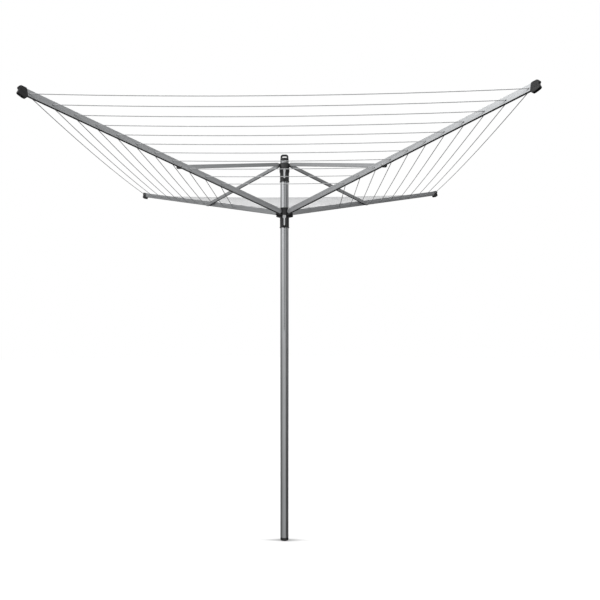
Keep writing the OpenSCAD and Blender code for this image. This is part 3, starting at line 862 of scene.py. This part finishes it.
def lever_shape(latch):
    """A latch lever: a dished plate, a ribbed pad, a barrel on its pin and a tooth for the mast's holes."""
    high = latch.box[1]
    inside = latch.front - LEVER_T
    shape = plate(lever_corners(latch.box, latch.stem, 0), LEVER_T)
    front = [f for f in shape.faces if f.normal.z > 0.99]
    bmesh.ops.inset_individual(shape, faces=front, thickness=1.5 * MM, depth=-0.7 * MM)
    soften(shape, 0.4 * MM, 2, 42)
    placed(shape, facing_front(latch.front, latch.pin, LEVER_T))
    rib_half, rib_t = high.x - 2.6 * MM, 2 * MM
    rib = rectangle(-rib_half, -0.6 * MM, rib_half, 0.6 * MM, 0.5 * MM)
    ribs = [
        placed(plate(rib, rib_t, 0.3 * MM), facing_front(latch.front - 0.1 * MM, latch.pin, rib_t),
               shift(0, 0, high.z - 4.5 * MM - 2.8 * MM * i))
        for i in range(4)
    ]
    at_pin = shift(0, latch.pin.y, latch.pin.z)
    barrel_r = 3 * MM
    barrel = placed(rod(barrel_r, latch.stem, 32), LIE_X, at_pin)
    tip = MAST_R + TOOTH_CLEARANCE
    tooth_l = inside - tip + 0.5 * MM
    tooth = placed(
        lathe([(0, 0), (TOOTH_R - 0.8 * MM, 0), (TOOTH_R, 1 * MM), (TOOTH_R, tooth_l), (0, tooth_l)], 32),
        STAND, shift(0, -tip, latch.pin.z - TOOTH_DROP))
    whole = combined(shape, [*ribs, barrel, tooth], "UNION")
    hole = placed(rod(LEVER_PIN_R + PUSH_FIT, 40 * MM, 24), LIE_X, at_pin)
    return combined(whole, [hole], "DIFFERENCE")


def leaf_shape(node):
    """A latch's leaf spring: an arched strip whose feet stand on the sleeve."""
    low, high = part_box(node)
    rise, chord, thickness = high.y - low.y, high.z - low.z, 0.5 * MM
    radius = (chord * chord / 4 + rise * rise) / (2 * rise)
    outline = []
    for r, way in ((radius, 1), (radius - thickness, -1)):
        reach = math.acos((radius - rise) / r)
        turns = (way * reach * i / 8 for i in range(-8, 9))
        outline += [(r * math.sin(a), low.y + radius - r * math.cos(a), 0) for a in turns]
    middle = shift((low.x + high.x) / 2, 0, (low.z + high.z) / 2)
    return placed(plate(outline, high.x - low.x), middle @ Matrix.Rotation(math.radians(-90), 4, "Y"))


def rivet_shape(low, high):
    """A rivet along y with two domed heads, as wide and long as the box it fills."""
    head_r = (high.z - low.z) / 2
    head_t = 2 * MM
    grip = (high.y - low.y) / 2 - head_t
    dome = [
        (head_r * math.sin(a), grip + 0.5 * MM + (head_t - 0.5 * MM) * math.cos(a))
        for a in (math.radians(15 * i) for i in range(7))
    ]
    upper = [*dome, (head_r, grip), (PIN_R, grip)]
    profile = upper + [(r, -z) for r, z in reversed(upper)]
    return placed(lathe(profile, 40), STAND, shift(0, (low.y + high.y) / 2, 0))


def rivet_at(node, place):
    """The rivet of a CAD node that lies at a place."""
    head_reach, shank_reach = 9 * MM, 30 * MM

    def near(corner):
        return max(abs(corner.x), abs(corner.z)) < head_reach and abs(corner.y) < shank_reach

    return placed(rivet_shape(*local_box(node, place, near)), place)


def line_crossings(k, lines):
    """Where each round of the line passes through arm k, outermost first, in the arm's upright plane."""
    reach = lines.lead + lines.diameter / 2
    near = [c for c in local_corners(f"lines_{k + 1}", arm_turn(k)) if abs(c.y) < reach]
    near.sort(key=lambda c: -c.x)
    least_step = 20 * MM
    rounds = [[near[0]]]
    for corner in near[1:]:
        if rounds[-1][-1].x - corner.x > least_step:
            rounds.append([])
        rounds[-1].append(corner)
    middles = (sum(group, Vector()) / len(group) for group in rounds)
    return [Vector((m.x, 0, m.z)) for m in middles]


def line_half(lines, crossing, outermost):
    """One half-round's route from the arm's middle to mid-span: through the hole, a short bend, a sag."""
    r, lead = crossing.x, lines.lead
    sag = lines.sag * ((r - lead) / (outermost - lead)) ** 2
    mid_span_gap = 0.02 * MM
    run = (r - lead) / 2 - mid_span_gap
    bend = 5 * MM
    first = bend / math.sqrt(2) / run
    path = [Vector((r, 0, crossing.z)), Vector((r, lead - bend, crossing.z))]
    corner = Vector((r, lead, crossing.z))
    for u in (0.25, 0.5, 0.75):
        before = corner.lerp(path[1], 1 - u)
        after = corner + Vector((-1, 1, 0)).normalized() * bend * u
        path.append(before.lerp(after, u))
    for i in range(13):
        u = first + (1 - first) * i / 12
        path.append(Vector((r - u * run, lead + u * run, crossing.z - sag * (1 - (1 - u) ** 2))))
    return path


def along_path(path):
    """A place at each point of a path, square to it."""
    places = []
    for i, point in enumerate(path):
        ahead = (path[min(i + 1, len(path) - 1)] - path[max(i - 1, 0)]).normalized()
        side = ahead.cross(Vector((0, 0, 1))).normalized()
        turn = Matrix((side, ahead.cross(side), ahead)).transposed()
        places.append(Matrix.Translation(point) @ turn.to_4x4())
    return places


def line_shape(lines, half, side):
    """A half-round on one side of its arm, drawn about the arm's upright plane."""
    radius = lines.diameter / 2
    section = arc(radius, 0, 0, (36 * i for i in range(10)))
    path = [Vector((p.x, side * p.y, p.z)) for p in half]
    distances = [0]
    for a, b in zip(path, path[1:]):
        distances.append(distances[-1] + (b - a).length)
    return sweep(section, along_path(path), distances)


# ---- operators ----

def settings(context):
    """The sizes and colours of this scene."""
    scene = context.scene
    return scene.clothesline_mouldings, scene.clothesline_line, scene.clothesline_colours


class CLOTHESLINE_OT_finishes(bpy.types.Operator):
    """Make the finishes and give each metal CAD node its own"""
    bl_idname = "clothesline.finishes"
    bl_label = "Finishes and metalwork"

    def execute(self, context):
        lines, colours = settings(context)[1:]
        make_finishes(colours, lines)
        dress("mast_tube", "mast_aluminium")
        for k in ARMS:
            dress(f"arm_tube_{k + 1}", "arm_aluminium")
            dress(f"strut_{k + 1}", "strut_aluminium")
            dress(f"strut_washer_{k + 1}", "zinc_steel")
        for hub in ("upper", "lower"):
            dress(f"{hub}_lever_pin", "zinc_steel")
        return {"FINISHED"}


class CLOTHESLINE_OT_mast_ends(bpy.types.Operator):
    """Model the foot plug, and the mast cap with its hanging loop"""
    bl_idname = "clothesline.mast_ends"
    bl_label = "Foot plug and mast cap"

    def execute(self, context):
        sizes = settings(context)[0]
        piece("foot_plug_moulding", foot_plug_shape(), "foot", "black_plastic", "foot_plug")
        piece("mast_cap_moulding", mast_cap_shape(sizes), "mast", "black_plastic", "mast_cap")
        return {"FINISHED"}


class CLOTHESLINE_OT_hubs(bpy.types.Operator):
    """Model the two hubs and their latch levers"""
    bl_idname = "clothesline.hubs"
    bl_label = "Hubs and levers"

    def execute(self, context):
        sizes = settings(context)[0]
        upper = Latch("upper_lever", UPPER_LEVER_PIN, stem=9 * MM)
        lower = Latch("lower_lever", LOWER_LEVER_PIN, stem=8 * MM)
        piece("upper_hub_moulding", upper_hub_shape(sizes, upper), "upper_hub", "black_plastic", "upper_hub")
        piece("lower_hub_moulding", lower_hub_shape(sizes, lower), "lower_hub", "black_plastic", "lower_hub")
        piece("upper_latch_lever", lever_shape(upper), "upper_lever", "bright_lever", "upper_lever")
        piece("lower_latch_lever", lever_shape(lower), "lower_lever", "bright_lever", "lower_lever")
        for hub in ("upper", "lower"):
            node = f"{hub}_lever_spring"
            leaf = piece(f"{hub}_latch_spring", leaf_shape(node), f"{hub}_hub", "spring_steel", node)
            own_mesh(leaf)
        return {"FINISHED"}


class CLOTHESLINE_OT_tip_caps(bpy.types.Operator):
    """Model the four arm end caps"""
    bl_idname = "clothesline.tip_caps"
    bl_label = "Arm end caps"

    def execute(self, context):
        for k in ARMS:
            node = f"tip_cap_{k + 1}"
            piece(f"{node}_moulding", tip_cap_shape(k), f"arm_{k + 1}", "black_plastic", node)
        return {"FINISHED"}


class CLOTHESLINE_OT_rivets(bpy.types.Operator):
    """Model the domed rivets of the hubs and of the strut joints"""
    bl_idname = "clothesline.rivets"
    bl_label = "Rivets"

    def execute(self, context):
        upper = joined([rivet_at("strut_hub_pins", upper_pin_frame(k)) for k in ARMS])
        piece("strut_hub_rivets", upper, "upper_hub", "zinc_steel", "strut_hub_pins")
        lower = joined([rivet_at("arm_hub_pins", arm_frame(k)) for k in ARMS])
        piece("arm_hub_rivets", lower, "lower_hub", "zinc_steel", "arm_hub_pins")
        for k in ARMS:
            joint = shift(STRUT_JOINT.x, 0, STRUT_JOINT.z)
            place = arm_turn(k) @ joint @ Matrix.Rotation(-ARM_SLOPE, 4, "Y")
            node = f"strut_pin_{k + 1}"
            piece(f"strut_rivet_{k + 1}", rivet_at(node, place), f"arm_{k + 1}", "zinc_steel", node)
        return {"FINISHED"}


class CLOTHESLINE_OT_line(bpy.types.Operator):
    """Model the rounds of line as half-rounds, one on each side of their arms"""
    bl_idname = "clothesline.line"
    bl_label = "Clothes line"

    def execute(self, context):
        lines = settings(context)[1]
        for k in ARMS:
            turn = arm_turn(k)
            crossings = line_crossings(k, lines)
            for number, crossing in enumerate(crossings, 1):
                half = line_half(lines, crossing, crossings[0].x)
                clear_of_strut = crossing.x > STRUT_JOINT.x + lines.strut_clearance
                shown = lines.folded if clear_of_strut else lines.tucked
                keep = shown / (half[-1] - half[0]).length
                for side, word in ((-1, "a"), (1, "b")):
                    shape = placed(line_shape(lines, half, side), turn)
                    name = f"line_{k + 1}_round_{number:02d}_{word}"
                    lay = piece(name, shape, f"arm_{k + 1}", "line_coating", f"lines_{k + 1}")
                    turn @ half[0]
                    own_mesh(lay)
        return {"FINISHED"}


class CLOTHESLINE_OT_stage(bpy.types.Operator):
    """Set the camera, the pale floor and the soft studio light"""
    bl_idname = "clothesline.stage"
    bl_label = "Stage"

    def execute(self, context):
        add_camera(context)
        add_floor()
        add_lights(context)
        return {"FINISHED"}


# ---- stage ----

def add_camera(context):
    """The camera, in front of the object and a little above half its height."""
    data = bpy.data.cameras.new("studio_camera")
    data.lens = 39.71
    data.shift_x = 0.0223
    data.clip_end = 60
    camera = bpy.data.objects.new("studio_camera", data)
    camera.location = (0.1182, -3.6346, 1.1258)
    camera.rotation_euler = (math.radians(92.729), 0, math.radians(1.677))
    context.scene.collection.objects.link(camera)
    context.scene.camera = camera


def add_floor():
    """A wide floor that reflections and bounced light don't see."""
    shape = bmesh.new()
    bmesh.ops.create_circle(shape, cap_ends=True, segments=96, radius=25)
    mesh = as_mesh(shape, "studio_floor")
    mesh.materials.append(floor_finish())
    floor = bpy.data.objects.new("studio_floor", mesh)
    bpy.context.scene.collection.objects.link(floor)
    floor.visible_glossy = False
    floor.visible_diffuse = False


def add_light(context, name, place, aim, size, power):
    """A soft box of a power in watts, aimed at a point."""
    data = bpy.data.lights.new(name, "AREA")
    data.shape = "RECTANGLE"
    data.size, data.size_y = size
    data.energy = power
    light = bpy.data.objects.new(name, data)
    light.location = place
    light.rotation_euler = (Vector(aim) - Vector(place)).to_track_quat("-Z", "Y").to_euler()
    context.scene.collection.objects.link(light)


def add_lights(context):
    """Three soft boxes, and a sky that the camera sees as white.

    For light and reflections the sky is dark low down, brighter at the left than at the right, and has a
    pale band in front.
    """
    middle = (0, 0, 1.6)
    add_light(context, "key_softbox", (-4.2, -3.2, 3.6), middle, (2.6, 3.2), 60)
    add_light(context, "fill_softbox", (4.6, -2.4, 2.2), middle, (1.6, 3.0), 20)
    add_light(context, "top_softbox", (0, 0.5, 5.2), middle, (4, 4), 110)
    world = bpy.data.worlds.new("studio_sky")
    context.scene.world = world
    sky = Finish(world, "Background")
    x, y, z = sky.split(sky.point("Generated"))
    height = (z + 1) * 0.5
    around = sky.ramp(height, (0.0, 0.02), (0.46, 0.08), (0.56, 0.40), (1.0, 1.0)) * (0.72 - x * 0.28)
    front = sky.ramp(0 - y, (0.25, 0.0), (0.85, 0.62))
    band = sky.ramp(height, (0.15, 0.0), (0.35, 1.0), (0.65, 1.0), (0.9, 0.2))
    seen = sky.node("ShaderNodeLightPath", output="Is Camera Ray")
    sky.set(Color=sky.mix(seen, around + front * band, (1, 1, 1)))
    context.scene.view_settings.view_transform = "Standard"


OPERATORS = (
    CLOTHESLINE_OT_stage, CLOTHESLINE_OT_finishes, CLOTHESLINE_OT_mast_ends, CLOTHESLINE_OT_hubs,
    CLOTHESLINE_OT_tip_caps, CLOTHESLINE_OT_rivets, CLOTHESLINE_OT_line,
)


class CLOTHESLINE_PT_sidebar(bpy.types.Panel):
    """Lists the clothesline's steps, sizes and colours"""
    bl_idname = "CLOTHESLINE_PT_sidebar"
    bl_label = "Rotary clothesline"
    bl_space_type = "VIEW_3D"
    bl_region_type = "UI"
    bl_category = "Clothesline"

    def draw(self, context):
        layout = self.layout
        for step in OPERATORS:
            layout.operator(step.bl_idname)
        for group in settings(context):
            box = layout.box()
            for name in group.__annotations__:
                box.prop(group, name)


CLASSES = (MouldingSizes, LineSizes, FinishColours, *OPERATORS, CLOTHESLINE_PT_sidebar)


def register():
    for cls in CLASSES:
        bpy.utils.register_class(cls)
    bpy.types.Scene.clothesline_mouldings = bpy.props.PointerProperty(type=MouldingSizes)
    bpy.types.Scene.clothesline_line = bpy.props.PointerProperty(type=LineSizes)
    bpy.types.Scene.clothesline_colours = bpy.props.PointerProperty(type=FinishColours)


def unregister():
    del bpy.types.Scene.clothesline_mouldings
    del bpy.types.Scene.clothesline_line
    del bpy.types.Scene.clothesline_colours
    for cls in reversed(CLASSES):
        bpy.utils.unregister_class(cls)


def main():
    register()
    for step in OPERATORS:
        group, name = step.bl_idname.split(".")
        getattr(getattr(bpy.ops, group), name)()


if __name__ == "__main__":
    main()
